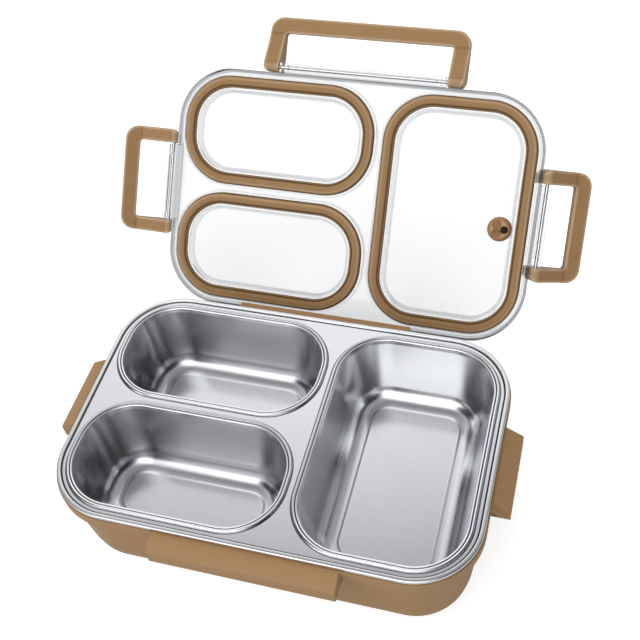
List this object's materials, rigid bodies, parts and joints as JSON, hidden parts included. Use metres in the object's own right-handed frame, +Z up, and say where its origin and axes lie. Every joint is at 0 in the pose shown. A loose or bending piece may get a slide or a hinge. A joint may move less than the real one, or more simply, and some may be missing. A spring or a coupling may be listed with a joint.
{
  "type": "compartment lunch box",
  "caption": "Hinged lunch box: moulded base, lift-out drawn steel tray with compartments, clear lid with soft seal rings, vent plug and swinging latches.",
  "frame": {"origin": "middle of the base's flat underside, on the table", "axes": "+Z up; +X along the rear hinge; +Y from the front latch to the hinge. The lid stands open and its latches are flared at rest"},
  "size_m": [0.2781, 0.2987, 0.1559],
  "materials": {
    "base_plastic": "tan moulded polypropylene, satin",
    "latch_plastic": "tan moulded plastic, satin",
    "seal_silicone": "tan silicone",
    "vent_silicone": "tan silicone, a little darker",
    "brushed_steel": "drawn and brushed stainless sheet",
    "pin_steel": "plain steel wire",
    "clear_plastic": "clear moulded plastic, polished"
  },
  "bodies": {
    "base": {"base_shell": "base_plastic", "hinge_pin": "pin_steel"},
    "tray": {"tray": "brushed_steel"},
    "lid": {"lid_shell": "clear_plastic", "seal_large": "seal_silicone", "seal_rear": "seal_silicone", "seal_front": "seal_silicone", "rear_clip": "latch_plastic", "rod_front": "pin_steel", "rod_left": "pin_steel", "rod_right": "pin_steel", "rod_rear": "pin_steel"},
    "latch_front": {"latch_front": "latch_plastic"},
    "latch_left": {"latch_left": "latch_plastic"},
    "latch_right": {"latch_right": "latch_plastic"},
    "vent_plug": {"vent_plug": "vent_silicone"}
  },
  "joints": [
    {"name": "lid_hinge", "type": "hinge", "parent": "base", "child": "lid", "pos_m": [0, 0.075, 0.041], "axis": [-1, 0, 0], "range_deg": [-131, 0]},
    {"name": "front_latch_swing", "type": "hinge", "parent": "lid", "child": "latch_front", "pos_m": [0, 0.18905, 0.13836], "axis": [-1, 0, 0], "range_deg": [-90, 25]},
    {"name": "left_latch_swing", "type": "hinge", "parent": "lid", "child": "latch_left", "pos_m": [-0.1113, 0.14096, 0.08304], "axis": [0, -0.6561, -0.7547], "range_deg": [-65, 50]},
    {"name": "right_latch_swing", "type": "hinge", "parent": "lid", "child": "latch_right", "pos_m": [0.1113, 0.14096, 0.08304], "axis": [0, 0.6561, 0.7547], "range_deg": [-113, 2]},
    {"name": "tray_lift", "type": "slide", "parent": "base", "child": "tray", "axis": [0, 0, 1], "range_m": [0, 0.07]},
    {"name": "vent_pull", "type": "slide", "parent": "lid", "child": "vent_plug", "axis": [0, -0.7547, 0.6561], "range_m": [0, 0.012]}
  ]
}
